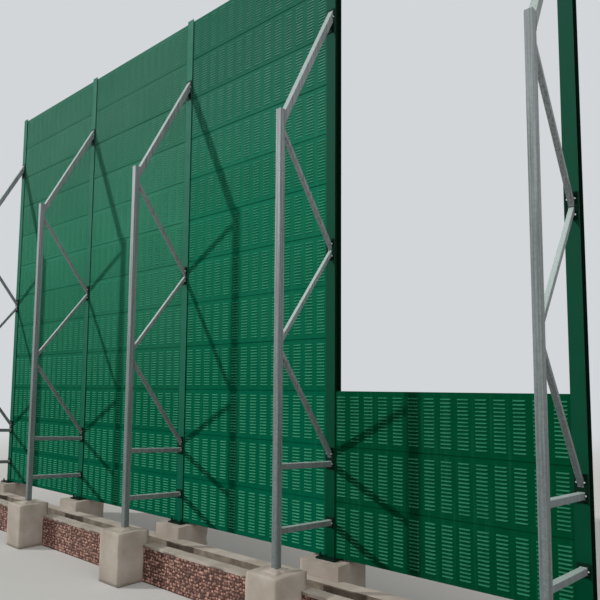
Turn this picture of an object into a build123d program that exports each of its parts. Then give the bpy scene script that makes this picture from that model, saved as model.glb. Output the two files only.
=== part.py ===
"""Section of a noise barrier: five steel posts, four bays of louvred panels and a truss on each post.

Millimetres, +Z up, +X along the wall. The truss side faces -Y. The origin is on the floor, at the
middle of the whole object's box, so the three full bays lie at -X and the part-built one at +X.
"""
from build123d import *
import math
import os

# The row of posts
BAY_LENGTH = 2200.0
FULL_BAYS = 3
PART_BAYS = 1
PANELS_IN_FULL_BAY = 12
PANELS_IN_PART_BAY = 3
PANELS_IN_NODE = 4

# Posts of H section, each on a base plate
POST_FLANGE_WIDTH = 106.0
POST_DEPTH = 100.0
POST_FLANGE_THICKNESS = 8.0
POST_WEB_THICKNESS = 6.0
POST_RISE_OVER_PANELS = 20.0
BASE_PLATE_WIDTH = 220.0
BASE_PLATE_DEPTH = 240.0
BASE_PLATE_THICKNESS = 16.0

# Panels, slid into the posts from above and stacked
PANEL_HEIGHT = 500.0
PANEL_THICKNESS = 80.0
PANEL_JOINT = 0.5
PANEL_END_CLEARANCE = 7.0
PANEL_EDGE_CHAMFER = 5.0

# Trusses on the -Y side
CHORD_OFFSET = 708.0
CHORD_SIZE = 60.0
CHORD_TOP_HEIGHT = 3972.0
FOOT_PLATE_SIZE = 130.0
FOOT_PLATE_THICKNESS = 12.0
TOP_BRACE_SIZE = 60.0
WEB_BRACE_SIZE = 38.0
STRUT_SIZE = 50.0
END_PLATE_THICKNESS = 8.0
END_PLATE_WIDTH = 88.0

# Tubes of a truss, top first: size, then height at the chord and at the post over the panels' bottom edge
BRACE_LINES = (
    (TOP_BRACE_SIZE, 3905.0, 5155.0),
    (WEB_BRACE_SIZE, 3782.0, 2870.0),
    (WEB_BRACE_SIZE, 1936.0, 2797.0),
    (WEB_BRACE_SIZE, 1800.0, 898.0),
    (STRUT_SIZE, 842.0, 804.0),
    (STRUT_SIZE, 344.0, 305.0),
)

# End plates on the post, top first: bottom and top over the panels' bottom edge
END_PLATE_SPANS = (
    (5000.0, 5240.0),
    (2735.0, 2940.0),
    (755.0, 955.0),
    (262.0, 358.0),
)

# One truss was welded with its low joint a little high: its lowest diagonal, upper strut and their plate
HIGH_JOINT_TRUSS = 3
HIGH_JOINT_LIFT = 28.0
HIGH_JOINT_TUBES = (3, 4)
HIGH_JOINT_PLATES = (2,)

# Concrete
PANEL_BOTTOM_HEIGHT = 500.0
PAD_WIDTH = 440.0
PAD_FRONT = 160.0
PAD_BACK = 250.0
PIER_SIZE = 360.0
PIER_TOP = 530.0
PIER_CHAMFER = 8.0
WALL_SETBACK = 600.0
WALL_THICKNESS = 130.0
INFILL_TOP = 352.0
COPING_THICKNESS = 28.0
KERB_FRONT = 270.0
KERB_BACK = 110.0
KERB_TOP = 360.0
BED_TOP = 200.0

# Worked out from the sizes above
BAYS = FULL_BAYS + PART_BAYS
POSTS = BAYS + 1
FLANGE_Y = (CHORD_OFFSET + PIER_SIZE / 2 - PAD_BACK) / 2
PANEL_GAP_IN_POST = (POST_DEPTH - 2 * POST_FLANGE_THICKNESS - PANEL_THICKNESS) / 2
PANEL_FRONT_Y = FLANGE_Y + POST_FLANGE_THICKNESS + PANEL_GAP_IN_POST
CHORD_Y = FLANGE_Y - CHORD_OFFSET
CHORD_BACK_Y = CHORD_Y + CHORD_SIZE / 2
PLATE_FACE_Y = FLANGE_Y - END_PLATE_THICKNESS
WALL_HEIGHT = PANELS_IN_FULL_BAY * PANEL_HEIGHT
PAD_TOP = PANEL_BOTTOM_HEIGHT - BASE_PLATE_THICKNESS
FOOT_PLATE_TOP = PIER_TOP + FOOT_PLATE_THICKNESS


def post_x(index):
    """Middle of a post along the wall."""
    return (index - (POSTS - 1) / 2) * BAY_LENGTH


def block(x_span, y_span, z_span):
    """A box between two corners, each span a pair of low and high."""
    size = [high - low for low, high in (x_span, y_span, z_span)]
    low_corner = (x_span[0], y_span[0], z_span[0])
    return Pos(*low_corner) * Box(*size, align=(Align.MIN, Align.MIN, Align.MIN))


def around(middle, size):
    """A span of one size about a middle."""
    return (middle - size / 2, middle + size / 2)


def post(index):
    """A rolled H-section post."""
    x = post_x(index)
    z_span = (PANEL_BOTTOM_HEIGHT, PANEL_BOTTOM_HEIGHT + WALL_HEIGHT + POST_RISE_OVER_PANELS)
    back_y = FLANGE_Y + POST_DEPTH
    flange_x = around(x, POST_FLANGE_WIDTH)
    body = block(flange_x, (FLANGE_Y, FLANGE_Y + POST_FLANGE_THICKNESS), z_span)
    body += block(flange_x, (back_y - POST_FLANGE_THICKNESS, back_y), z_span)
    return body + block(around(x, POST_WEB_THICKNESS), (FLANGE_Y, back_y), z_span)


def base_plate(index):
    """The plate that a post is welded to, bolted down on its pad."""
    middle_y = FLANGE_Y + POST_DEPTH / 2
    z_span = (PAD_TOP, PANEL_BOTTOM_HEIGHT)
    return block(around(post_x(index), BASE_PLATE_WIDTH), around(middle_y, BASE_PLATE_DEPTH), z_span)


def panel(bay, number):
    """One panel of a stack, counted from the bottom, with its long edges broken."""
    gap = POST_WEB_THICKNESS / 2 + PANEL_END_CLEARANCE
    x_span = (post_x(bay) + gap, post_x(bay + 1) - gap)
    low = PANEL_BOTTOM_HEIGHT + number * PANEL_HEIGHT
    z_span = (low, low + PANEL_HEIGHT - PANEL_JOINT)
    body = block(x_span, (PANEL_FRONT_Y, PANEL_FRONT_Y + PANEL_THICKNESS), z_span)
    return chamfer(body.edges().filter_by(Axis.X), PANEL_EDGE_CHAMFER)


def panel_groups(bay):
    """Stacks of a few panels each, bottom first."""
    count = PANELS_IN_FULL_BAY if bay < FULL_BAYS else PANELS_IN_PART_BAY
    numbers = list(range(count))
    return [numbers[start:start + PANELS_IN_NODE] for start in range(0, count, PANELS_IN_NODE)]


def chord(index):
    """The truss's upright tube."""
    z_span = (FOOT_PLATE_TOP, PANEL_BOTTOM_HEIGHT + CHORD_TOP_HEIGHT)
    return block(around(post_x(index), CHORD_SIZE), around(CHORD_Y, CHORD_SIZE), z_span)


def foot_plate(index):
    """The plate that a chord is welded to, on top of its pier."""
    y_span = around(CHORD_Y, FOOT_PLATE_SIZE)
    return block(around(post_x(index), FOOT_PLATE_SIZE), y_span, (PIER_TOP, FOOT_PLATE_TOP))


def lift(index, row, high_rows):
    """How much higher a row of tubes or plates sits on this truss than on the others."""
    return HIGH_JOINT_LIFT if index == HIGH_JOINT_TRUSS and row in high_rows else 0.0


def brace(index, row):
    """A square tube from the chord's back face to the end plate's face, both ends cut upright."""
    size, height_at_chord, height_at_post = BRACE_LINES[row]
    foot = PANEL_BOTTOM_HEIGHT + lift(index, row, HIGH_JOINT_TUBES)
    run = PLATE_FACE_Y - CHORD_BACK_Y
    half = size / 2 / math.cos(math.atan2(height_at_post - height_at_chord, run))
    start = foot + height_at_chord
    end = foot + height_at_post
    outline = Polyline(
        (CHORD_BACK_Y, start - half),
        (PLATE_FACE_Y, end - half),
        (PLATE_FACE_Y, end + half),
        (CHORD_BACK_Y, start + half),
        close=True,
    )
    side = Plane.YZ.offset(post_x(index) - size / 2)
    return extrude(side * make_face(outline), size)


def end_plate(index, row):
    """An end plate, flat on the post's front flange."""
    low, high = END_PLATE_SPANS[row]
    foot = PANEL_BOTTOM_HEIGHT + lift(index, row, HIGH_JOINT_PLATES)
    z_span = (foot + low, foot + high)
    return block(around(post_x(index), END_PLATE_WIDTH), (PLATE_FACE_Y, FLANGE_Y), z_span)


def pad(index):
    """The concrete block under a post."""
    y_span = (FLANGE_Y - PAD_FRONT, FLANGE_Y + PAD_BACK)
    return block(around(post_x(index), PAD_WIDTH), y_span, (0, PAD_TOP))


def pier(index):
    """The concrete pier under a chord, with its top edges broken."""
    body = block(around(post_x(index), PIER_SIZE), around(CHORD_Y, PIER_SIZE), (0, PIER_TOP))
    return chamfer(body.faces().sort_by(Axis.Z)[-1].edges(), PIER_CHAMFER)


def between_piers(bay):
    """Span along the wall that is free between two piers."""
    return (post_x(bay) + PIER_SIZE / 2, post_x(bay + 1) - PIER_SIZE / 2)


def infill(bay):
    """The low wall between two piers."""
    front = FLANGE_Y - WALL_SETBACK
    return block(between_piers(bay), (front, front + WALL_THICKNESS), (0, INFILL_TOP))


def coping(bay):
    """The concrete course on top of the low wall."""
    front = FLANGE_Y - WALL_SETBACK
    z_span = (INFILL_TOP, INFILL_TOP + COPING_THICKNESS)
    return block(between_piers(bay), (front, front + WALL_THICKNESS), z_span)


def whole_length():
    """Span from the outside of the first pier to that of the last."""
    return (post_x(0) - PIER_SIZE / 2, post_x(POSTS - 1) + PIER_SIZE / 2)


def kerb():
    """The kerb on the near side of the pads, let in round them."""
    y_span = (FLANGE_Y - KERB_FRONT, FLANGE_Y - KERB_BACK)
    body = block(whole_length(), y_span, (0, KERB_TOP))
    for index in range(POSTS):
        body -= pad(index)
    return body


def drain_bed():
    """The bed of the drain between the low wall and the kerb, cut round the piers."""
    y_span = (FLANGE_Y - WALL_SETBACK + WALL_THICKNESS, FLANGE_Y - KERB_FRONT)
    body = block(whole_length(), y_span, (0, BED_TOP))
    for index in range(POSTS):
        body -= pier(index)
    return body


def write(name, solids):
    """One node in one file."""
    shape = solids[0] if len(solids) == 1 else Compound(children=solids)
    export_step(shape, f"parts/{name}.step")


os.makedirs("parts", exist_ok=True)
GROUP_NAMES = ("low", "middle", "high")
for number in range(POSTS):
    write(f"post_{number + 1}", [post(number)])
    write(f"truss_chord_{number + 1}", [chord(number)])
    write(f"truss_braces_{number + 1}", [brace(number, row) for row in range(len(BRACE_LINES))])
    write(f"end_plates_{number + 1}", [end_plate(number, row) for row in range(len(END_PLATE_SPANS))])
    write(f"truss_pier_{number + 1}", [pier(number)])
for bay_number in range(BAYS):
    for group, numbers in enumerate(panel_groups(bay_number)):
        name = f"bay_{bay_number + 1}_panels_{GROUP_NAMES[group]}"
        write(name, [panel(bay_number, number) for number in numbers])
    write(f"pebble_wall_{bay_number + 1}", [infill(bay_number)])
write("post_base_plates", [base_plate(number) for number in range(POSTS)])
write("chord_foot_plates", [foot_plate(number) for number in range(POSTS)])
write("wall_coping", [coping(bay_number) for bay_number in range(BAYS)])
write("post_pads", [pad(number) for number in range(POSTS)])
write("rear_kerb", [kerb()])
write("drain_bed", [drain_bed()])
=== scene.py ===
"""Looks of the noise barrier section: louvred panels, rolled posts, galvanised trusses and their concrete.

Metres, +Z up, +X along the wall, with the trusses on the -Y side. Each piece keeps the place of the solid
that it dresses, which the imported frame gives.
"""
import math
import random

import bmesh
import bpy
from mathutils import Matrix, Vector, noise


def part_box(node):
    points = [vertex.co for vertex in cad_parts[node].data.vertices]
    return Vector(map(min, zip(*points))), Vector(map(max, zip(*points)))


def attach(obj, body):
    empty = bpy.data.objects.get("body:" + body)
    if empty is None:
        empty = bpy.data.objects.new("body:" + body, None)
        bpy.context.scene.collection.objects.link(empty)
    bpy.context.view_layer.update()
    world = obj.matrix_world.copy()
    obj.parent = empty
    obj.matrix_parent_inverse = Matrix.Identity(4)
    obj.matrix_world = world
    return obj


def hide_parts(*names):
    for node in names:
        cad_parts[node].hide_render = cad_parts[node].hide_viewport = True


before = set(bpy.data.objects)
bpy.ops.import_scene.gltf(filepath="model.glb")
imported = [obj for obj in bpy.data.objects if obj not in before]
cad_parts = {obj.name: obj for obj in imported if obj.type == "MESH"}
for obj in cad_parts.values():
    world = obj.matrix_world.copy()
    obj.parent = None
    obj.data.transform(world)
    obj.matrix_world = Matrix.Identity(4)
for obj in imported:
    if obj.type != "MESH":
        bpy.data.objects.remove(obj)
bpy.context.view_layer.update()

# The row: how many posts, bays and panels there are
POSTS = 5
BAYS = POSTS - 1
GROUP_NAMES = ("low", "middle", "high")
PANELS_IN_GROUP = 4
PANELS_IN_LAST_BAY = 3

# Panels: folded sheet boxes, the front one pressed into columns of louvres
PANEL_JOINT = 0.0005
PANEL_HEIGHT = 0.5
PANEL_FOOT_HEIGHT = 0.5
PANEL_THICKNESS = 0.08
FOLD_RADIUS = 0.005
FOLD_STEPS = 3
LAP_WIDTH = 0.022
LAP_DEPTH = 0.0012
GROOVE_RISE = 0.0085
GROOVE_DEPTH = 0.007
GROOVE_RADIUS = 0.0014
LOUVRE_COLUMNS = 14
LOUVRE_ROWS = 14
LOUVRE_PITCH = 0.1503
LOUVRE_ROW_PITCH = 0.0298
SLOT_HALF_LENGTH = 0.0480
SLOT_TOP = 0.0060
SLOT_BOTTOM = -0.0058
LIP_HALF_LENGTH = 0.0430
LIP_TOP = -0.0022
LIP_BOTTOM = -0.0050
HOOD_DEPTH = 0.0065
HOOD_ROUNDING = 0.0016
SHEET_GAUGE = 0.0008
HOOD_TOP_SLOPE = 0.3
RAISED_SHARE = 0.65
POCKET_RISE = 0.0020
POCKET_DEPTH = 0.0020
BACK_RIBS = 4
BACK_RIB_WIDTH = 0.045
BACK_RIB_DEPTH = 0.004
BACK_RIB_FLAT_HALF_SHARE = 0.32
SHEET_WAVE = 0.0012
SHEET_WAVES_ALONG = 1.6
SHEET_WAVES_UP = 4.5
PANEL_SETTLING = 0.0006
WEATHERED_SHEET_AGE = (0.85, 1.0)
NEW_SHEET_AGE = (0.0, 0.08)
PANEL_SMOOTH_ANGLE = math.radians(10)
PANEL_SEED = 5

# Posts: rolled H sections on base plates
BASE_PLATES = "post_base_plates"
FOOT_PLATES = "chord_foot_plates"
POST_HALF_WIDTH = 0.053
POST_DEPTH = 0.100
FLANGE_THICKNESS = 0.008
WEB_HALF_THICKNESS = 0.003
ROOT_RADIUS = 0.006
FLANGE_EDGE_RADIUS = 0.0012
EDGE_FACING = 0.8
BASE_ANCHOR_X = 0.082
BASE_ANCHOR_INSET = 0.034

# Trusses
CHORD_SIZE = 0.060
GROUT_REACH = 0.098
GROUT_RISE = 0.030
GROUT_CELLS = 18
GROUT_COARSE_LUMPS = (28, 0.35)
GROUT_FINE_LUMPS = (70, 0.15)
GROUT_BODY = 0.75
GROUT_FALL = 2.5
GROUT_RAGS = 2.5
GROUT_RAGGEDNESS = 0.14
GROUT_SMOOTH_ANGLE = math.radians(60)
TUBE_CORNER_RADIUS = 0.005
TOP_BRACE_SIZE = 0.060
WEB_BRACE_SIZE = 0.038
STRUT_SIZE = 0.050
END_PLATE_HALF_WIDTH = 0.044
END_PLATE_THICKNESS = 0.008
BEAD_RADIUS = 0.0035
BEAD_STEP = 0.007
BEAD_SIDES = 6
BEAD_SPREAD = (0.8, 1.15)
BRACE_BEAD_SHARE = 0.8
WELD_SEED = 11
PLATE_EDGE = 0.0014
SQUARE = ((-1, -1), (1, -1), (1, 1), (-1, 1))

# Tubes of a truss, top first: size, then height at the chord and at the post over the panels' foot
BRACE_LINES = (
    (TOP_BRACE_SIZE, 3.905, 5.155),
    (WEB_BRACE_SIZE, 3.782, 2.870),
    (WEB_BRACE_SIZE, 1.936, 2.797),
    (WEB_BRACE_SIZE, 1.800, 0.898),
    (STRUT_SIZE, 0.842, 0.804),
    (STRUT_SIZE, 0.344, 0.305),
)

# End plates on a post, top first: bottom and top over the panels' foot
END_PLATE_SPANS = ((5.000, 5.240), (2.735, 2.940), (0.755, 0.955), (0.262, 0.358))

# Bolts through the end plates, one pair beside each tube, top first: height over the panels' foot
PLATE_BOLT_HEIGHTS = (5.150, 2.888, 2.770, 0.897, 0.806, 0.305)

# One truss was welded with its low joint a little high: its lowest diagonal, upper strut and their plate
HIGH_JOINT_POST = 4
HIGH_JOINT_LIFT = 0.028
HIGH_JOINT_TUBES = (3, 4)
HIGH_JOINT_PLATES = (2,)

# How sharp an edge stays where nothing else is said
SMOOTH_ANGLE = math.radians(40)

# Sizes of a fastener: across flats, nut height, washer radius, washer thickness, stud radius, stud stand-out
PLATE_BOLT = (0.013, 0.0075, 0.0068, 0.0016, 0.0040, 0.006)
ANCHOR_BOLT = (0.024, 0.013, 0.0160, 0.0030, 0.0080, 0.024)
PLATE_BOLT_FROM_TUBE = 0.0072
WASHER_SIDES = 16
NUT_SIDES = 6
STUD_SIDES = 12
BROKEN_RIM_SHARE = 0.14
NUT_SMOOTH_ANGLE = math.radians(30)

# Cast concrete: how far its edges are worn, its skin is uneven and its corners are chipped
PIER_WEAR = (0.004, 0.003, 0.02)
PAD_WEAR = (0.005, 0.004, 0.06)
KERB_WEAR = (0.006, 0.005, 0.03)
BED_WEAR = (0.003, 0.005, 0.0)
COPING_WEAR = (0.003, 0.003, 0.02)
CONCRETE_CELL = 0.04
KERB_CELL = 0.06
BED_CELL = 0.08
SKIN_LUMPS = 9
CHIPS = 5
CHIP_PLACE = Vector((7, 3, 1))
CHIP_START = 0.18
CHIP_GAIN = 3.0
WORN_ANGLE = math.radians(60)
CAST_SMOOTH_ANGLE = math.radians(50)
DARKER_SIDE_FACING = 0.7

# The pebble-dashed walls: sizes and spreads of the stones
STONE_SPACING = 0.031
STONE_SIZE = 0.0185
STONE_SIZES = (0.75, 1.1)
STONE_WIDTHS = (0.85, 1.15)
STONE_HEIGHTS = (0.75, 1.0)
STONE_FLATNESS = 0.62
STONE_STANDING_OUT = 0.12
STONE_SHIFT_ALONG = 0.3
STONE_SHIFT_UP = 0.25
STONE_CLEARANCE = 1.15
STONE_DARKENING = 1.3
MORTAR_SETBACK = 0.008
STONE_SEED = 23

# How near counts as the same place, and how nearly level as flat
MERGED = 1e-5
TOUCHING = 1e-4
FLAT_ANGLE = math.radians(1)

# Weather and painted light, in metres: the heights between which paint fades and takes a painted sheen of the
# sky, and those between which the painted shade on the zinc lifts, how high the damp rises, and how far along
# the wall the panels' chalking and the posts' fading, each with painted sheen, reach
FADE_AND_SHEEN_FOOT = 1.8
FADE_AND_SHEEN_MIDDLE = 4.0
FADE_AND_SHEEN_TOP = 5.7
POST_FADE_AND_SHEEN_FOOT = 0.5
POST_FADE_AND_SHEEN_TOP = 6.5
ZINC_SHADE_LIFT_FOOT = 1.6
ZINC_SHADE_LIFT_TOP = 4.2
DAMP_HEIGHT = 0.16
CHALK_AND_SHEEN_EDGE = 0.05
FADED_SHEENED_POSTS_END = 0.5
DARKER_POSTS_START = 1.5

# How much the spangle lightens the zinc
SPANGLE_SHARE = 0.4

# Widths of the patterns on the materials, in millimetres. They have four figures because a pattern that
# reads Object coordinates slides when its width changes. Orange peel has its real size and shows only from
# near.
FADE_PATCH = 769.2
RAIN_RUN = 26.32
RAIN_RUN_LENGTH = 833.3
DUST_CLOUD = 71.43
ORANGE_PEEL = 2.381
BRUSHED_PATCH = 142.9
RUST_SPOT = 22.22
SPANGLE = 14.29
NUT_WEAR = 8.333
CONCRETE_BLOTCH = 250
PORE_SPACING = 18.18
DRAIN_PATCH = 111.1

# Widths of patterns that are too fine to show at their real size, and are drawn coarser
DRAW_MARK = 11.11
DRAW_MARK_LENGTH = 625
FLEECE_TUFT = 1.111
CONCRETE_GRIT = 7.692
DRAIN_GRIT = 9.091
MORTAR_SAND = 6.25
STONE_GRAIN = 4.545

# Where the photograph was taken from, fitted to its posts, panels and trusses
CAMERA_PLACE = Vector((5.7874, -4.2066, 2.0358))
CAMERA_YAW = -0.7195
CAMERA_PITCH = 0.0915
CAMERA_ROLL = 0.0069
CAMERA_FOCAL_PIXELS = 616.77
AXIS_BELOW_CENTRE_PIXELS = 30.36
IMAGE_PIXELS = 600
SENSOR_WIDTH = 36.0

# Light: a low sun from the left of the truss side, three soft fills and a weak even sky. Each lamp has the
# way that its light travels, its strength and how wide it is.
FILL_ANGLE = math.radians(60)
LAMPS = {
    "key_sun": (Vector((0.85, 0.70, -0.47)), 3.3, math.radians(2)),
    "overhead_fill": (Vector((-0.1, 0.2, -1)), 1.3, FILL_ANGLE),
    "side_fill": (Vector((-1, 0.35, -0.55)), 1.5, FILL_ANGLE),
    "rear_fill": (Vector((0.1, -1, -0.35)), 1.1, FILL_ANGLE),
}
SKY_STRENGTH = 0.12
SKY_COLOUR = "#eef3fb"
BACKGROUND_COLOUR = "#d3d6d9"
FLOOR_COLOUR = "#aeaca8"
FLOOR_RADIUS = 70.0
FLOOR_SIDES = 96
FLOOR_FADE_START = 9.0
FLOOR_FADE_END = 26.0


def colour(hex_text):
    """An sRGB hex colour as linear red, green, blue and alpha."""
    parts = [int(hex_text[start:start + 2], 16) / 255 for start in (1, 3, 5)]
    linear = [part / 12.92 if part <= 0.04045 else ((part + 0.055) / 1.055) ** 2.4 for part in parts]
    return (*linear, 1.0)


def result_of(node):
    """The output that a node gives with its present settings."""
    return next(output for output in node.outputs if output.enabled)


def add_node(tree, kind, inputs=None, **settings):
    """Adds a node, sets what is named, and fills its inputs with values, outputs or other nodes' results."""
    node = tree.nodes.new(kind)
    for name, value in settings.items():
        setattr(node, name, value)
    for key, value in (inputs or {}).items():
        if isinstance(value, bpy.types.Node):
            value = result_of(value)
        if isinstance(value, bpy.types.NodeSocket):
            tree.links.new(value, node.inputs[key])
        else:
            node.inputs[key].default_value = value
    return node


def per_metre(width):
    """How often a pattern of a width in millimetres comes in a metre, which is what a scale socket takes."""
    return 1000 / width


def start_material(name, roughness, metallic=0.0, gloss=0.5):
    """A material with one surface shader, and the place on the object that its patterns read."""
    material = bpy.data.materials.new(name)
    material.use_nodes = True
    tree = material.node_tree
    shader = tree.nodes["Principled BSDF"]
    shader.inputs["Roughness"].default_value = roughness
    shader.inputs["Metallic"].default_value = metallic
    shader.inputs["Specular IOR Level"].default_value = gloss
    return material, tree, add_node(tree, "ShaderNodeTexCoord").outputs["Object"]


def coat(material, paint, relief=None):
    """Gives a material's surface shader its colour and, where there is one, its relief."""
    tree = material.node_tree
    for key, node in (("Base Color", paint), ("Normal", relief)):
        if node:
            tree.links.new(result_of(node), tree.nodes["Principled BSDF"].inputs[key])
    return material


def powder_coated_sheet():
    """Galvanised sheet with a green powder coat: an even satin skin, deep green where new, and paler towards
    the top and most in the first bays, partly fading by weather and partly a painted sheen of the sky. The
    louvres' hoods are lighter, partly dust and partly a painted highlight on their upward faces, and there
    are faint runs of rain."""
    material, tree, place = start_material("powder_coated_sheet", 0.7, gloss=0.008)
    along, _, height = add_node(tree, "ShaderNodeSeparateXYZ", {0: place}).outputs
    # Paler towards the top, and in the first bays by the early share: partly fading, partly a painted sheen
    # of the sky
    middle_share = add_node(tree, "ShaderNodeMapRange", {0: height, 1: FADE_AND_SHEEN_FOOT, 2: FADE_AND_SHEEN_MIDDLE})
    upper_share = add_node(tree, "ShaderNodeMapRange", {0: height, 1: FADE_AND_SHEEN_MIDDLE, 2: FADE_AND_SHEEN_TOP})
    early = add_node(tree, "ShaderNodeMapRange", {0: along, 1: CHALK_AND_SHEEN_EDGE, 2: -CHALK_AND_SHEEN_EDGE, 3: 0.0, 4: 0.12})
    fade_and_sheen = add_node(tree, "ShaderNodeMath", {0: early, 1: middle_share}, operation="MULTIPLY")
    paint = colour("#004f37")
    for share, tone in ((middle_share, "#14694f"), (upper_share, "#29604f"), (fade_and_sheen, "#74a38b")):
        paint = add_node(tree, "ShaderNodeMix", {0: share, 6: paint, 7: colour(tone)}, data_type="RGBA")
    age = add_node(tree, "ShaderNodeAttribute", attribute_name="sheet_age").outputs["Fac"]
    paint = add_node(tree, "ShaderNodeMix", {0: age, 6: colour("#00381e"), 7: paint}, data_type="RGBA")
    patches = add_node(tree, "ShaderNodeTexNoise",
                       {"Vector": place, "Scale": per_metre(FADE_PATCH), "Detail": 3.0})
    patch_share = add_node(tree, "ShaderNodeMapRange", {0: patches, 1: 0.35, 2: 0.7, 3: 0.0, 4: 0.2})
    run_scale = (per_metre(RAIN_RUN), per_metre(RAIN_RUN), per_metre(RAIN_RUN_LENGTH))
    runs = add_node(tree, "ShaderNodeMapping", {0: place, 3: run_scale})
    run_noise = add_node(tree, "ShaderNodeTexNoise", {"Vector": runs, "Scale": 1.0, "Detail": 4.0})
    run_share = add_node(tree, "ShaderNodeMapRange", {0: run_noise, 1: 0.54, 2: 0.82, 3: 0.0, 4: 0.22})
    for share, tone in ((patch_share, "#004f38"), (run_share, "#2a7058")):
        paint = add_node(tree, "ShaderNodeMix", {0: share, 6: paint, 7: colour(tone)}, data_type="RGBA")
    # The hoods' upward faces, and less their other raised faces, are lighter: partly dust, partly a painted
    # highlight, paler still towards the top as painted sheen
    dust_and_highlight = add_node(tree, "ShaderNodeAttribute", attribute_name="dust_and_highlight").outputs["Fac"]
    cloud = add_node(tree, "ShaderNodeTexNoise",
                     {"Vector": place, "Scale": per_metre(DUST_CLOUD), "Detail": 3.0})
    cloud_share = add_node(tree, "ShaderNodeMapRange", {0: cloud, 1: 0.3, 2: 0.7, 3: 0.6, 4: 1.0})
    dust = add_node(tree, "ShaderNodeMath", {0: dust_and_highlight, 1: cloud_share}, operation="MULTIPLY")
    age_share = add_node(tree, "ShaderNodeMapRange", {0: age, 3: 0.5, 4: 0.8})
    old_dust_and_highlight = add_node(tree, "ShaderNodeMath", {0: dust, 1: age_share}, operation="MULTIPLY")
    dust_and_highlight_tone = add_node(tree, "ShaderNodeMix", {0: upper_share, 6: colour("#3a8868"), 7: colour("#6ba691")},
                         data_type="RGBA")
    dusty = add_node(tree, "ShaderNodeMix", {0: old_dust_and_highlight, 6: paint, 7: dust_and_highlight_tone}, data_type="RGBA")
    peel = add_node(tree, "ShaderNodeTexNoise",
                    {"Vector": place, "Scale": per_metre(ORANGE_PEEL), "Detail": 2.0})
    bump = add_node(tree, "ShaderNodeBump", {"Height": peel, "Strength": 0.1, "Distance": 0.0006})
    return coat(material, dusty, bump)


def glass_fleece():
    """The glass fleece behind the louvres, greyish green and lighter than the sheet: painted light in the
    louvres' shaded openings.
    """
    material, tree, place = start_material("glass_fleece", 0.95, gloss=0.1)
    fibres = add_node(tree, "ShaderNodeTexNoise",
                      {"Vector": place, "Scale": per_metre(FLEECE_TUFT), "Detail": 2.0})
    mixed = add_node(tree, "ShaderNodeMix", {0: fibres, 6: colour("#3d7f6b"), 7: colour("#559680")},
                     data_type="RGBA")
    return coat(material, mixed)


def painted_rolled_steel():
    """Hot-rolled sections with brushed green paint, a little uneven. It is lighter towards the top and on the
    first three posts, partly fading and partly a painted sheen of the sky, and darker than the panels' green
    on the last two."""
    material, tree, place = start_material("painted_rolled_steel", 0.7, gloss=0.01)
    along, _, height = add_node(tree, "ShaderNodeSeparateXYZ", {0: place}).outputs
    # Lighter towards the top, and on the first three posts by the early share: partly fading, partly a
    # painted sheen of the sky
    fade_and_sheen = add_node(tree, "ShaderNodeMapRange", {0: height, 1: POST_FADE_AND_SHEEN_FOOT, 2: POST_FADE_AND_SHEEN_TOP})
    last_posts_paint, first_posts_paint = (add_node(tree, "ShaderNodeMix", {0: fade_and_sheen, 6: colour(low), 7: colour(high)},
                             data_type="RGBA")
                    for low, high in (("#003823", "#264c40"), ("#064f3b", "#427463")))
    early = add_node(tree, "ShaderNodeMapRange", {0: along, 1: DARKER_POSTS_START, 2: FADED_SHEENED_POSTS_END})
    paint = add_node(tree, "ShaderNodeMix", {0: early, 6: last_posts_paint, 7: first_posts_paint}, data_type="RGBA")
    coats = add_node(tree, "ShaderNodeTexNoise",
                     {"Vector": place, "Scale": per_metre(BRUSHED_PATCH), "Detail": 5.0})
    share = add_node(tree, "ShaderNodeMapRange", {0: coats, 1: 0.4, 2: 0.75, 3: 0.0, 4: 0.3})
    uneven = add_node(tree, "ShaderNodeMix", {0: share, 6: paint, 7: colour("#064a35")}, data_type="RGBA")
    bump = add_node(tree, "ShaderNodeBump", {"Height": coats, "Strength": 0.12, "Distance": 0.004})
    return coat(material, uneven, bump)


def dark_primed_plate():
    """Flame-cut plate in blackish green primer: dull, with a bloom of rust at worn spots."""
    material, tree, place = start_material("dark_primed_plate", 0.65, gloss=0.05)
    spots = add_node(tree, "ShaderNodeTexNoise",
                     {"Vector": place, "Scale": per_metre(RUST_SPOT), "Detail": 6.0})
    share = add_node(tree, "ShaderNodeMapRange", {0: spots, 1: 0.6, 2: 0.78, 3: 0.0, 4: 0.45})
    mixed = add_node(tree, "ShaderNodeMix", {0: share, 6: colour("#031c13"), 7: colour("#2c2218")},
                     data_type="RGBA")
    return coat(material, mixed)


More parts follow.
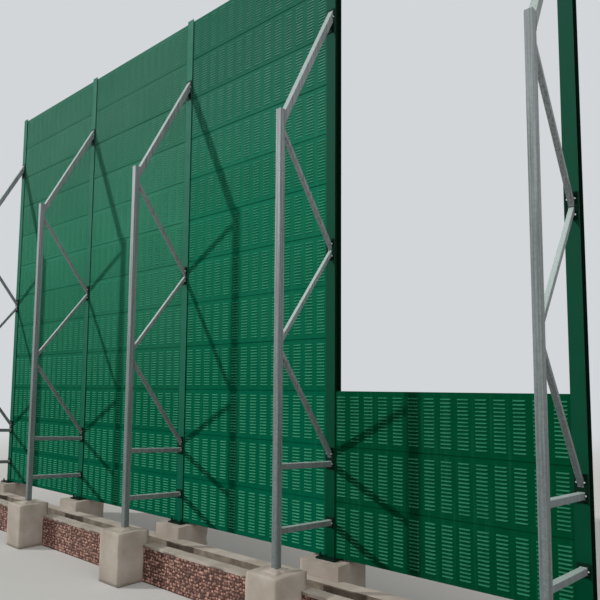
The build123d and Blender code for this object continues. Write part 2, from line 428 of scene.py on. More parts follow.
def galvanised_tube():
    """Hot-dip galvanised square tube gone dull: a grey zinc skin with soft spangle and long draw marks,
    darker low down as painted shade, and pale where it looks up, partly blooming and partly a painted sheen
    of the sky."""
    material, tree, place = start_material("galvanised_tube", 0.6, metallic=0.2, gloss=0.2)
    spangle = add_node(tree, "ShaderNodeTexVoronoi", {"Vector": place, "Scale": per_metre(SPANGLE)})
    spangle_share = add_node(tree, "ShaderNodeSeparateXYZ", {0: spangle.outputs["Color"]}).outputs["X"]
    drawn_scale = (per_metre(DRAW_MARK), per_metre(DRAW_MARK), per_metre(DRAW_MARK_LENGTH))
    drawn = add_node(tree, "ShaderNodeMapping", {0: place, 3: drawn_scale})
    draw_marks = add_node(tree, "ShaderNodeTexNoise", {"Vector": drawn, "Scale": 1.0, "Detail": 4.0})
    height = add_node(tree, "ShaderNodeSeparateXYZ", {0: place}).outputs["Z"]
    # Lighter with height: the zinc low down is darker as painted shade
    shade_lift = add_node(tree, "ShaderNodeMapRange",
                     {0: height, 1: ZINC_SHADE_LIFT_FOOT, 2: ZINC_SHADE_LIFT_TOP, 3: 0.0, 4: 0.8})
    spangled = add_node(tree, "ShaderNodeMath", {0: spangle_share, 1: SPANGLE_SHARE}, operation="MULTIPLY")
    zinc_share = add_node(tree, "ShaderNodeMath", {0: shade_lift, 1: spangled})
    mark_share = add_node(tree, "ShaderNodeMapRange", {0: draw_marks, 1: 0.44, 2: 0.64, 3: 0.0, 4: 0.7})
    upward = add_node(tree, "ShaderNodeAttribute", attribute_name="upward").outputs["Fac"]
    # Pale on faces that look up: partly blooming, partly a painted sheen of the sky
    bloom_and_sheen = add_node(tree, "ShaderNodeMapRange", {0: upward, 1: 0.1, 2: 0.6, 3: 0.0, 4: 0.6})
    zinc = colour("#5d6665")
    for share, tone in ((zinc_share, "#7d8384"), (mark_share, "#4b5452"), (bloom_and_sheen, "#aab8b2")):
        zinc = add_node(tree, "ShaderNodeMix", {0: share, 6: zinc, 7: colour(tone)}, data_type="RGBA")
    bump = add_node(tree, "ShaderNodeBump", {"Height": draw_marks, "Strength": 0.1, "Distance": 0.002})
    return coat(material, zinc, bump)


def zinc_plated_fastener():
    """Bright zinc-plated bolts and nuts, the lightest metal on the part."""
    material, tree, place = start_material("zinc_plated_fastener", 0.32, metallic=0.8)
    wear = add_node(tree, "ShaderNodeTexNoise",
                    {"Vector": place, "Scale": per_metre(NUT_WEAR), "Detail": 3.0})
    mixed = add_node(tree, "ShaderNodeMix", {0: wear, 6: colour("#d9dcda"), 7: colour("#b4b8b6")},
                     data_type="RGBA")
    return coat(material, mixed)


def cast_concrete():
    """Site-cast concrete, form-finished: pale and dusty, with blotches, pores and a darker damp foot."""
    material, tree, place = start_material("cast_concrete", 0.9)
    blotches = add_node(tree, "ShaderNodeTexNoise",
                        {"Vector": place, "Scale": per_metre(CONCRETE_BLOTCH), "Detail": 6.0})
    blotch_share = add_node(tree, "ShaderNodeMapRange", {0: blotches, 1: 0.35, 2: 0.68})
    height = add_node(tree, "ShaderNodeSeparateXYZ", {0: place}).outputs["Z"]
    damp = add_node(tree, "ShaderNodeMapRange", {0: height, 1: 0.0, 2: DAMP_HEIGHT, 3: 0.45, 4: 0.0})
    pores = add_node(tree, "ShaderNodeTexVoronoi", {"Vector": place, "Scale": per_metre(PORE_SPACING)})
    pore_share = add_node(tree, "ShaderNodeMapRange",
                          {0: pores.outputs["Distance"], 1: 0.05, 2: 0.16, 3: 0.55, 4: 0.0})
    skin = colour("#887e72")
    for share, tone in ((blotch_share, "#9f968b"), (damp, "#776e63"), (pore_share, "#6a6259")):
        skin = add_node(tree, "ShaderNodeMix", {0: share, 6: skin, 7: colour(tone)}, data_type="RGBA")
    grit = add_node(tree, "ShaderNodeTexNoise",
                    {"Vector": place, "Scale": per_metre(CONCRETE_GRIT), "Detail": 6.0})
    bump = add_node(tree, "ShaderNodeBump", {"Height": grit, "Strength": 0.5, "Distance": 0.003})
    return coat(material, skin, bump)


def darker_drain_concrete():
    """Concrete of the drain, darker and browner, with paler patches."""
    material, tree, place = start_material("darker_drain_concrete", 0.85, gloss=0.3)
    drain_patches = add_node(tree, "ShaderNodeTexNoise",
                    {"Vector": place, "Scale": per_metre(DRAIN_PATCH), "Detail": 6.0})
    share = add_node(tree, "ShaderNodeMapRange", {0: drain_patches, 1: 0.38, 2: 0.66})
    mixed = add_node(tree, "ShaderNodeMix", {0: share, 6: colour("#5b5145"), 7: colour("#7d7364")},
                     data_type="RGBA")
    grit = add_node(tree, "ShaderNodeTexNoise",
                    {"Vector": place, "Scale": per_metre(DRAIN_GRIT), "Detail": 5.0})
    bump = add_node(tree, "ShaderNodeBump", {"Height": grit, "Strength": 0.5, "Distance": 0.003})
    return coat(material, mixed, bump)


def bedding_mortar():
    """The mortar that the pebbles were thrown into: dark brown and coarse."""
    material, tree, place = start_material("bedding_mortar", 0.95)
    sand = add_node(tree, "ShaderNodeTexNoise",
                    {"Vector": place, "Scale": per_metre(MORTAR_SAND), "Detail": 5.0})
    mixed = add_node(tree, "ShaderNodeMix", {0: sand, 6: colour("#29160f"), 7: colour("#523629")},
                     data_type="RGBA")
    bump = add_node(tree, "ShaderNodeBump", {"Height": sand, "Strength": 0.6, "Distance": 0.003})
    return coat(material, mixed, bump)


def crushed_pebble():
    """Crushed reddish pebbles, each its own tone from dark liver red to dusty pink."""
    material, tree, place = start_material("crushed_pebble", 0.8)
    tint = add_node(tree, "ShaderNodeAttribute", attribute_name="stone_tint").outputs["Fac"]
    grain = add_node(tree, "ShaderNodeTexNoise",
                     {"Vector": place, "Scale": per_metre(STONE_GRAIN), "Detail": 3.0})
    grain_share = add_node(tree, "ShaderNodeMapRange", {0: grain, 3: 0.0, 4: 0.5})
    stone = colour("#2c100c")
    for share, tone in ((tint, "#bf9383"), (grain_share, "#744a3d")):
        stone = add_node(tree, "ShaderNodeMix", {0: share, 6: stone, 7: colour(tone)}, data_type="RGBA")
    return coat(material, stone)


MATERIALS = {
    make.__name__: make()
    for make in (
        powder_coated_sheet, glass_fleece, painted_rolled_steel, dark_primed_plate, galvanised_tube,
        zinc_plated_fastener, cast_concrete, darker_drain_concrete, bedding_mortar, crushed_pebble,
    )
}


def finish_piece(name, bm, materials, nodes=(), smooth_angle=SMOOTH_ANGLE, flat_faces_lead=False):
    """Turns a bmesh into a piece that rides on the part, and hides the solids that it stands for."""
    mesh = bpy.data.meshes.new(name)
    bm.to_mesh(mesh)
    bm.free()
    for material in materials:
        mesh.materials.append(MATERIALS[material])
    if smooth_angle:
        mesh.shade_smooth()
        mesh.set_sharp_from_angle(angle=smooth_angle)
    piece = bpy.data.objects.new(name, mesh)
    bpy.context.scene.collection.objects.link(piece)
    if flat_faces_lead:
        piece.modifiers.new("even_shading", "WEIGHTED_NORMAL").keep_sharp = True
    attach(piece, "root")
    if nodes:
        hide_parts(*nodes)
    return piece


def as_mesh(bm, name):
    """Turns a bmesh into a mesh to be set down many times."""
    mesh = bpy.data.meshes.new(name)
    bm.to_mesh(mesh)
    bm.free()
    return mesh


def set_down(bm, mesh, matrix=Matrix()):
    """Adds a copy of a mesh, turned and placed, to a bmesh."""
    copy = mesh.copy()
    copy.transform(matrix)
    bm.from_mesh(copy)
    bpy.data.meshes.remove(copy)


def round_edges(bm, edges, radius, segments=1):
    """Rounds edges, or breaks them where there is one segment."""
    bmesh.ops.bevel(bm, geom=edges, offset=radius, offset_type="OFFSET", segments=segments, profile=0.5,
                    affect="EDGES", material=-1)


def verts_of(geometry):
    """The vertices among what an operator gives back."""
    return [item for item in geometry if isinstance(item, bmesh.types.BMVert)]


def close_holes(bm):
    """Closes every open run of edges with a face."""
    bmesh.ops.holes_fill(bm, edges=[edge for edge in bm.edges if edge.is_boundary], sides=0)


def block(low, high, edge=0.0):
    """A block between two corners, its edges broken."""
    bm = bmesh.new()
    bmesh.ops.create_cube(bm, size=1.0)
    bmesh.ops.scale(bm, vec=Vector(high) - Vector(low), verts=bm.verts)
    bmesh.ops.translate(bm, vec=(Vector(high) + Vector(low)) / 2, verts=bm.verts)
    if edge:
        round_edges(bm, bm.edges[:], edge)
    return as_mesh(bm, "block")


def repeat(bm, count, step):
    """Copies all that a bmesh holds until there are so many, each a step on from the last."""
    first = bm.verts[:] + bm.edges[:] + bm.faces[:]
    for number in range(1, count):
        made = bmesh.ops.duplicate(bm, geom=first)["geom"]
        bmesh.ops.translate(bm, vec=Vector(step) * number, verts=verts_of(made))
    bmesh.ops.remove_doubles(bm, verts=bm.verts, dist=MERGED)


def move_face(face, half_length, top, bottom, depth):
    """Sets a four-cornered face to a rectangle, flat at one depth."""
    for vert in face.verts:
        x = math.copysign(half_length, vert.co.x)
        vert.co = Vector((x, top if vert.co.y > 0 else bottom, depth))


def louvre():
    """One louvre in its piece of sheet, lying flat with the hood up: a hood closed above and open below."""
    bm = bmesh.new()
    bmesh.ops.create_grid(bm, x_segments=1, y_segments=1, size=0.5)
    bmesh.ops.scale(bm, vec=(LOUVRE_PITCH, LOUVRE_ROW_PITCH, 1), verts=bm.verts)
    bm.faces.ensure_lookup_table()
    slot = bm.faces[0]
    # Any inset does, because the slot's corners are set straight after it
    bmesh.ops.inset_individual(bm, faces=[slot], thickness=LOUVRE_ROW_PITCH / 4)
    move_face(slot, SLOT_HALF_LENGTH, SLOT_TOP, SLOT_BOTTOM, 0)
    lip = bmesh.ops.extrude_discrete_faces(bm, faces=[slot])["faces"][0]
    move_face(lip, LIP_HALF_LENGTH, LIP_TOP, LIP_BOTTOM, HOOD_DEPTH)
    bm.normal_update()
    rounded = [edge for edge in bm.edges
               if max(vert.co.z for vert in edge.verts) > HOOD_DEPTH / 2
               and min(vert.co.y for vert in edge.verts) > SLOT_BOTTOM
               and not all(vert.co.y == edge.verts[0].co.y < LIP_TOP for vert in edge.verts)
               and not any(vert.co.z < HOOD_DEPTH / 2 and vert.co.y < 0 for vert in edge.verts)]
    round_edges(bm, rounded, HOOD_ROUNDING)
    bm.normal_update()
    opening = min(bm.faces, key=lambda face: face.normal.y)
    bmesh.ops.inset_individual(bm, faces=[opening], thickness=SHEET_GAUGE)
    pocket = bmesh.ops.extrude_discrete_faces(bm, faces=[opening])["faces"][0]
    bmesh.ops.translate(bm, vec=(0, POCKET_RISE, -POCKET_DEPTH), verts=pocket.verts)
    # The pocket takes the pale fleece, as painted light in the opening's shade
    pocket.material_index = 1
    # Marks the hoods' upward faces fully and their other raised faces in part, for dust and a painted
    # highlight
    dust_and_highlight = bm.faces.layers.float.new("dust_and_highlight")
    for face in bm.faces:
        raised = max(vert.co.z for vert in face.verts) > HOOD_DEPTH / 2
        face[dust_and_highlight] = 1.0 if face.normal.y > HOOD_TOP_SLOPE else RAISED_SHARE if raised else 0.0
    return bm


def arc(centre, radius, start, end, steps):
    """Points on an arc, its start left out, with angles in degrees."""
    angles = [math.radians(start + (end - start) * step / steps) for step in range(1, steps + 1)]
    return [(centre[0] + radius * math.cos(angle), centre[1] + radius * math.sin(angle)) for angle in angles]


def panel_outline(rise):
    """Section of a panel as (y, z), from the front's top edge over the back to the front's bottom edge.
    The front stops short of the top, so that the next panel's skirt hangs over a shadow groove."""
    near, far = FOLD_RADIUS, PANEL_THICKNESS - FOLD_RADIUS
    low, high = FOLD_RADIUS, rise - FOLD_RADIUS
    shoulder = rise - GROOVE_RISE
    points = [(0, shoulder - GROOVE_RADIUS)]
    points += arc((GROOVE_RADIUS, shoulder - GROOVE_RADIUS), GROOVE_RADIUS, 180, 90, FOLD_STEPS)
    points += [(GROOVE_DEPTH, shoulder), (GROOVE_DEPTH, rise)]
    points += [(LAP_WIDTH, rise), (LAP_WIDTH, rise - LAP_DEPTH)]
    points += [(PANEL_THICKNESS - LAP_WIDTH, rise - LAP_DEPTH), (PANEL_THICKNESS - LAP_WIDTH, rise)]
    points.append((far, rise))
    points += arc((far, high), FOLD_RADIUS, 90, 0, FOLD_STEPS)
    for number in range(BACK_RIBS):
        middle = rise * (1 - (number + 0.5) / BACK_RIBS)
        flat = BACK_RIB_FLAT_HALF_SHARE
        for offset, depth in ((0.5, 0), (flat, BACK_RIB_DEPTH), (-flat, BACK_RIB_DEPTH), (-0.5, 0)):
            points.append((PANEL_THICKNESS - depth, middle + offset * BACK_RIB_WIDTH))
    points += [(PANEL_THICKNESS, low)] + arc((far, low), FOLD_RADIUS, 0, -90, FOLD_STEPS)
    points += [(PANEL_THICKNESS - LAP_WIDTH, 0), (PANEL_THICKNESS - LAP_WIDTH, LAP_DEPTH)]
    points += [(LAP_WIDTH, LAP_DEPTH), (LAP_WIDTH, 0), (near, 0)]
    return points + arc((near, low), FOLD_RADIUS, -90, -180, FOLD_STEPS)


def draw_on(bm, edges, move):
    """Extrudes a row of edges by one strip of faces, then moves the new row."""
    made = bmesh.ops.extrude_edge_only(bm, edges=edges)["geom"]
    verts = verts_of(made)
    rows = [item for item in made if isinstance(item, bmesh.types.BMEdge)]
    for vert in verts:
        move(vert)
    return [edge for edge in rows if all(vert in verts for vert in edge.verts)]


def louvred_panel(length, rise):
    """One panel, its foot at zero and its middle at x = 0: louvred front, folded edges, ribbed back."""
    bm = louvre()
    repeat(bm, LOUVRE_COLUMNS, (LOUVRE_PITCH, 0, 0))
    repeat(bm, LOUVRE_ROWS, (0, LOUVRE_ROW_PITCH, 0))
    half_run = (LOUVRE_COLUMNS - 1) / 2 * LOUVRE_PITCH
    low = (rise - (LOUVRE_ROWS - 1) * LOUVRE_ROW_PITCH) / 2
    bmesh.ops.translate(bm, vec=(-half_run, low, 0), verts=bm.verts)
    bmesh.ops.rotate(bm, cent=(0, 0, 0), matrix=Matrix.Rotation(math.radians(90), 3, "X"), verts=bm.verts)
    for side in (-1, 1):
        reach = side * LOUVRE_COLUMNS / 2 * LOUVRE_PITCH
        ends = [edge for edge in bm.edges if edge.is_boundary
                and all(abs(vert.co.x - reach) < TOUCHING for vert in edge.verts)]

        def to_end(vert):
            vert.co.x = side * length / 2

        draw_on(bm, ends, to_end)
    top = max(vert.co.z for vert in bm.verts)
    bottom = min(vert.co.z for vert in bm.verts)
    edges = [edge for edge in bm.edges if edge.is_boundary
             and all(vert.co.z > top - TOUCHING for vert in edge.verts)]
    for y, z in panel_outline(rise) + [(0, bottom)]:

        def to_outline(vert):
            vert.co.y, vert.co.z = y, z

        edges = draw_on(bm, edges, to_outline)
    bmesh.ops.remove_doubles(bm, verts=bm.verts, dist=MERGED)
    close_holes(bm)
    bmesh.ops.recalc_face_normals(bm, faces=bm.faces)
    return as_mesh(bm, "louvred_panel")


def stack_panels(node, count, template, ages, dice):
    """One node's panels, stacked in their bay, each sheet a little wavy and each panel settled by itself."""
    low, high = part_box(node)
    bm = bmesh.new()
    for number in range(count):
        panel = template.copy()
        settled = dice.uniform(-PANEL_SETTLING, PANEL_SETTLING)
        age = panel.attributes.new("sheet_age", "FLOAT", "FACE")
        age.data.foreach_set("value", [dice.uniform(*ages)] * len(panel.polygons))
        seed = Vector((0, 0, dice.uniform(0, 100)))
        for vert in panel.vertices:
            share = 1 - vert.co.y / PANEL_THICKNESS
            place = Vector((vert.co.x * SHEET_WAVES_ALONG, vert.co.z * SHEET_WAVES_UP, 0)) + seed
            vert.co.y += SHEET_WAVE * share * noise.noise(place) + settled
        middle = Vector(((low.x + high.x) / 2, low.y, low.z + number * PANEL_HEIGHT))
        set_down(bm, panel, Matrix.Translation(middle))
        bpy.data.meshes.remove(panel)
    finish_piece(f"{node}_sheets", bm, ["powder_coated_sheet", "glass_fleece"], [node],
                 smooth_angle=PANEL_SMOOTH_ANGLE)


def make_panels():
    """All the panels, from one template."""
    low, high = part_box("bay_1_panels_low")
    template = louvred_panel(high.x - low.x, PANEL_HEIGHT - PANEL_JOINT)
    dice = random.Random(PANEL_SEED)
    for bay in range(1, BAYS):
        for group in GROUP_NAMES:
            stack_panels(f"bay_{bay}_panels_{group}", PANELS_IN_GROUP, template, WEATHERED_SHEET_AGE, dice)
    stack_panels(f"bay_{BAYS}_panels_low", PANELS_IN_LAST_BAY, template, NEW_SHEET_AGE, dice)


def fastener(sizes):
    """A washer, a hexagon nut and the end of its stud, standing on a surface at the origin."""
    flats, nut_height, washer_radius, washer_thickness, stud_radius, stand_out = sizes
    bm = bmesh.new()
    foot = 0.0
    layers = (
        (washer_radius, washer_thickness, WASHER_SIDES),
        (flats / math.sqrt(3), nut_height, NUT_SIDES),
        (stud_radius, stand_out, STUD_SIDES),
    )
    for radius, height, segments in layers:
        layer = bmesh.new()
        bmesh.ops.create_cone(layer, cap_ends=True, segments=segments, radius1=radius, radius2=radius,
                              depth=height)
        bmesh.ops.translate(layer, vec=(0, 0, foot + height / 2), verts=layer.verts)
        rim = [edge for edge in layer.edges if all(vert.co.z > foot + height / 2 for vert in edge.verts)]
        round_edges(layer, rim, height * BROKEN_RIM_SHARE)
        set_down(bm, as_mesh(layer, "layer"))
        foot += height
    return as_mesh(bm, "fastener")


def fastener_places(places, axis, sizes):
    """Fasteners of one size at many places, all along one axis."""
    bm = bmesh.new()
    template = fastener(sizes)
    turn = Vector(axis).to_track_quat("Z", "Y").to_matrix().to_4x4()
    for place in places:
        set_down(bm, template, Matrix.Translation(place) @ turn)
    return bm


def weld_bead(corners, radius, dice):
    """A weld bead round a closed run of corners, its thickness uneven as a hand weld's is."""
    bm = bmesh.new()
    path = []
    for start, end in zip(corners, corners[1:] + corners[:1]):
        steps = max(2, round((end - start).length / BEAD_STEP))
        path += [start.lerp(end, step / steps) for step in range(steps)]
    middle = sum(path, Vector()) / len(path)
    normal = (path[0] - middle).cross(path[len(path) // 4] - middle).normalized()
    rings = []
    for place in path:
        outward = (place - middle).normalized()
        thick = radius * dice.uniform(*BEAD_SPREAD)
        turns = [math.tau * side / BEAD_SIDES for side in range(BEAD_SIDES)]
        rings.append([bm.verts.new(place + outward * thick * math.cos(turn) + normal * thick * math.sin(turn))
                      for turn in turns])
    for ring, following in zip(rings, rings[1:] + rings[:1]):
        for side in range(BEAD_SIDES):
            bm.faces.new((ring[side], ring[side - 1], following[side - 1], following[side]))
    bmesh.ops.recalc_face_normals(bm, faces=bm.faces)
    return as_mesh(bm, "bead")


def post_middle(number):
    """Middle of a post along the wall."""
    low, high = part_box(f"post_{number}")
    return (low.x + high.x) / 2


def flange_face():
    """Where the posts' front flanges face the trusses."""
    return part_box("end_plates_1")[1].y


def make_plates(name, node, material):
    """A row of like plates, one under each post or chord."""
    low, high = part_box(node)
    half = post_middle(1) - low.x
    bm = bmesh.new()
    for number in range(1, POSTS + 1):
        middle = post_middle(number)
        set_down(bm, block((middle - half, low.y, low.z), (middle + half, high.y, high.z), PLATE_EDGE))
    finish_piece(name, bm, [material], [node], smooth_angle=None)


def make_post(number):
    """A rolled H section with rounded roots, welded to its base plate, which is bolted down. Its insides and
    its flanges' edges take the dark primer as painted shade."""
    low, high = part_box(f"post_{number}")
    middle, front = post_middle(number), flange_face()
    half, inner, back = POST_HALF_WIDTH, FLANGE_THICKNESS, POST_DEPTH
    web = WEB_HALF_THICKNESS
    right = [(half, 0), (half, inner), (web, inner), (web, back - inner), (half, back - inner), (half, back)]
    corners = right + [(-x, y) for x, y in reversed(right)]
    bm = bmesh.new()
    outline = bm.faces.new([bm.verts.new((middle + x, front + y, low.z)) for x, y in corners])
    made = bmesh.ops.extrude_face_region(bm, geom=[outline])["geom"]
    bmesh.ops.translate(bm, vec=(0, 0, high.z - low.z), verts=verts_of(made))
    upright = [edge for edge in bm.edges if edge.verts[0].co.z != edge.verts[1].co.z]
    roots = [edge for edge in upright if abs(edge.verts[0].co.x - middle) < web * 1.5]
    rims = [edge for edge in upright if edge not in roots]
    round_edges(bm, roots, ROOT_RADIUS, segments=3)
    round_edges(bm, [edge for edge in rims if edge.is_valid], FLANGE_EDGE_RADIUS, segments=2)
    bmesh.ops.recalc_face_normals(bm, faces=bm.faces)
    # The channels between the flanges and the flanges' edges take the dark primer: painted shade
    for face in bm.faces:
        depth = face.calc_center_median().y - front
        inside = inner - FLANGE_EDGE_RADIUS < depth < back - inner + FLANGE_EDGE_RADIUS
        face.material_index = 1 if inside or abs(face.normal.x) > EDGE_FACING else 0
    finish_piece(f"post_{number}_section", bm, ["painted_rolled_steel", "dark_primed_plate"],
                 [f"post_{number}"], flat_faces_lead=True)
    plate_low, plate_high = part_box(BASE_PLATES)
    places = [Vector((middle + x, y, low.z)) for x in (-BASE_ANCHOR_X, BASE_ANCHOR_X)
              for y in (plate_low.y + BASE_ANCHOR_INSET, plate_high.y - BASE_ANCHOR_INSET)]
    finish_piece(f"post_{number}_anchor_nuts", fastener_places(places, (0, 0, 1), ANCHOR_BOLT),
                 ["dark_primed_plate"], smooth_angle=NUT_SMOOTH_ANGLE)


def square_tube(size, start, end, cuts=()):
    """A square tube with rounded corners between two places in an upright plane, its ends cut at planes."""
    run = end - start
    bm = bmesh.new()
    bmesh.ops.create_cube(bm, size=1.0)
    bmesh.ops.scale(bm, vec=(size, size, run.length), verts=bm.verts)
    long_edges = [edge for edge in bm.edges if edge.calc_length() > size * 1.5]
    round_edges(bm, long_edges, TUBE_CORNER_RADIUS, segments=3)
    turn = Matrix.Rotation(math.atan2(-run.y, run.z), 4, "X")
    bmesh.ops.transform(bm, matrix=Matrix.Translation((start + end) / 2) @ turn, verts=bm.verts)
    for place, normal in cuts:
        everything = bm.verts[:] + bm.edges[:] + bm.faces[:]
        bmesh.ops.bisect_plane(bm, geom=everything, plane_co=place, plane_no=normal, clear_outer=True)
        close_holes(bm)
    return as_mesh(bm, "tube")


def note_upward(bm):
    """Notes on each face how far it looks up, which is where the zinc is paler, partly blooming and partly a
    painted sheen of the sky.
    """
    upward = bm.faces.layers.float.new("upward")
    bm.normal_update()
    for face in bm.faces:
        face[upward] = max(0.0, face.normal.z)


def grout(place):
    """The mortar trowelled over a chord's foot plate: a low lumpy heap, steep at the tube, thin outside."""
    bm = bmesh.new()
    bmesh.ops.create_grid(bm, x_segments=GROUT_CELLS, y_segments=GROUT_CELLS, size=GROUT_REACH)
    for vert in bm.verts:
        away = max(abs(vert.co.x), abs(vert.co.y)) / GROUT_REACH
        lumps = sum(noise.noise((vert.co + place) * often) * depth
                    for often, depth in (GROUT_COARSE_LUMPS, GROUT_FINE_LUMPS))
        ragged = GROUT_RAGGEDNESS * away * noise.noise((vert.co.normalized() + place) * GROUT_RAGS)
        vert.co.x *= 1 + ragged
        vert.co.y *= 1 + ragged
        vert.co.z = GROUT_RISE * max(0.0, 1 - away ** GROUT_FALL) * (GROUT_BODY + lumps)
    rim = [edge for edge in bm.edges if edge.is_boundary]
    made = bmesh.ops.extrude_edge_only(bm, edges=rim)["geom"]
    for vert in verts_of(made):
        vert.co.z = -GROUT_RISE / 10
    close_holes(bm)
    bmesh.ops.recalc_face_normals(bm, faces=bm.faces)
    bmesh.ops.translate(bm, vec=place, verts=bm.verts)
    return bm


def lift(number, row, high_rows):
    """How much higher a row of tubes, plates or bolts sits on this truss than on the others."""
    return HIGH_JOINT_LIFT if number == HIGH_JOINT_POST and row in high_rows else 0.0


def make_truss(number, dice):
    """A chord, the mortar at its foot, and the tubes from it to the post, with their weld beads."""
    middle, front = post_middle(number), flange_face()
    low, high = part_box(f"truss_chord_{number}")
    chord_y = (low.y + high.y) / 2
    half = CHORD_SIZE / 2
    bm = bmesh.new()
    foot, head = (Vector((middle, chord_y, level)) for level in (low.z, high.z))
    set_down(bm, square_tube(CHORD_SIZE, foot, head))
    ring = [Vector((middle + x * half, chord_y + y * half, low.z)) for x, y in SQUARE]
    set_down(bm, weld_bead(ring, BEAD_RADIUS, dice))
    finish_piece(f"truss_{number}_chord", bm, ["galvanised_tube"],
                 [f"truss_chord_{number}"], flat_faces_lead=True)
    pier_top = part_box(FOOT_PLATES)[0].z
    finish_piece(f"truss_{number}_grout", grout(Vector((middle, chord_y, pier_top))), ["cast_concrete"],
                 smooth_angle=GROUT_SMOOTH_ANGLE)
    braces = bmesh.new()
    near, far = chord_y + half, front - END_PLATE_THICKNESS
    for row, (size, at_chord, at_post) in enumerate(BRACE_LINES):
        level = PANEL_FOOT_HEIGHT + lift(number, row, HIGH_JOINT_TUBES)
        start = Vector((middle, near, level + at_chord))
        end = Vector((middle, far, level + at_post))
        spare = (end - start).normalized() * size * 2
        cuts = ((start, Vector((0, -1, 0))), (end, Vector((0, 1, 0))))
        set_down(braces, square_tube(size, start - spare, end + spare, cuts))
        slope = (end - start).z / (end - start).y
        rise = size / 2 * math.sqrt(1 + slope * slope)
        for place in (start, end):
            ring = [place + Vector((x * size / 2, 0, z * rise)) for x, z in SQUARE]
            set_down(braces, weld_bead(ring, BEAD_RADIUS * BRACE_BEAD_SHARE, dice))
    note_upward(braces)
    finish_piece(f"truss_{number}_braces", braces, ["galvanised_tube"],
                 [f"truss_braces_{number}"], flat_faces_lead=True)


def make_end_plates(number):
    """The plates that a truss ends on, and the nuts that hold them to the post's flange."""
    middle, front = post_middle(number), flange_face()
    face = front - END_PLATE_THICKNESS
    plates = bmesh.new()
    for row, (bottom, top) in enumerate(END_PLATE_SPANS):
        level = PANEL_FOOT_HEIGHT + lift(number, row, HIGH_JOINT_PLATES)
        low = (middle - END_PLATE_HALF_WIDTH, face, level + bottom)
        high = (middle + END_PLATE_HALF_WIDTH, front, level + top)
        set_down(plates, block(low, high, PLATE_EDGE))
    finish_piece(f"end_plates_{number}_cut", plates, ["dark_primed_plate"],
                 [f"end_plates_{number}"], smooth_angle=None)
    places = []
    for row, height in enumerate(PLATE_BOLT_HEIGHTS):
        level = PANEL_FOOT_HEIGHT + lift(number, row, HIGH_JOINT_TUBES)
        x = BRACE_LINES[row][0] / 2 + PLATE_BOLT_FROM_TUBE
        places += [Vector((middle + side * x, face, level + height)) for side in (-1, 1)]
    finish_piece(f"end_plates_{number}_nuts", fastener_places(places, (0, -1, 0), PLATE_BOLT),
                 ["zinc_plated_fastener"], smooth_angle=NUT_SMOOTH_ANGLE)


def cut_at(bm, axis, first, last, step):
    """Cuts everything into cells of about one step along an axis."""
    normal = Vector((0, 0, 0))
    normal[axis] = 1
    count = max(1, round((last - first) / step))
    for number in range(1, count):
        place = Vector((0, 0, 0))
        place[axis] = first + (last - first) * number / count
        everything = bm.verts[:] + bm.edges[:] + bm.faces[:]
        bmesh.ops.bisect_plane(bm, geom=everything, plane_co=place, plane_no=normal)


def cast_piece(node, wear, cell=CONCRETE_CELL, darker_side=Vector((0, 0, 0))):
    """A cast block: the solid's own shape with worn edges, a slightly uneven skin and a few lost corners.
    Its faces towards one side may take the darker, browner drain concrete."""
    edge, uneven, chipped = wear
    low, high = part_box(node)
    bm = bmesh.new()
    bm.from_mesh(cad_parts[node].data)
    bmesh.ops.remove_doubles(bm, verts=bm.verts, dist=MERGED)
    bmesh.ops.dissolve_limit(bm, angle_limit=FLAT_ANGLE, verts=bm.verts, edges=bm.edges)
    sharp = [line for line in bm.edges if line.is_manifold and line.calc_face_angle() > WORN_ANGLE
             and min(vert.co.z for vert in line.verts) > low.z + TOUCHING]
    round_edges(bm, sharp, edge, segments=2)
    for axis in range(3):
        cut_at(bm, axis, low[axis], high[axis], cell)
    bm.normal_update()
    for face in bm.faces:
        # Faces towards the given side take the darker, browner drain concrete
        face.material_index = 1 if face.normal.dot(darker_side) > DARKER_SIDE_FACING else 0
    for vert in bm.verts:
        skin = uneven * (1 + noise.noise(vert.co * SKIN_LUMPS)) / 2
        cornered = 1 - max(abs(part) for part in vert.normal)
        chip = max(0.0, noise.noise(vert.co * CHIPS + CHIP_PLACE) - CHIP_START)
        moved = vert.co - vert.normal * (skin + chip * cornered * CHIP_GAIN * chipped)
        moved.z = vert.co.z if vert.co.z < low.z + TOUCHING else moved.z
        vert.co = moved
    finish_piece(f"{node}_cast", bm, ["cast_concrete", "darker_drain_concrete"], [node],
                 smooth_angle=CAST_SMOOTH_ANGLE, flat_faces_lead=True)


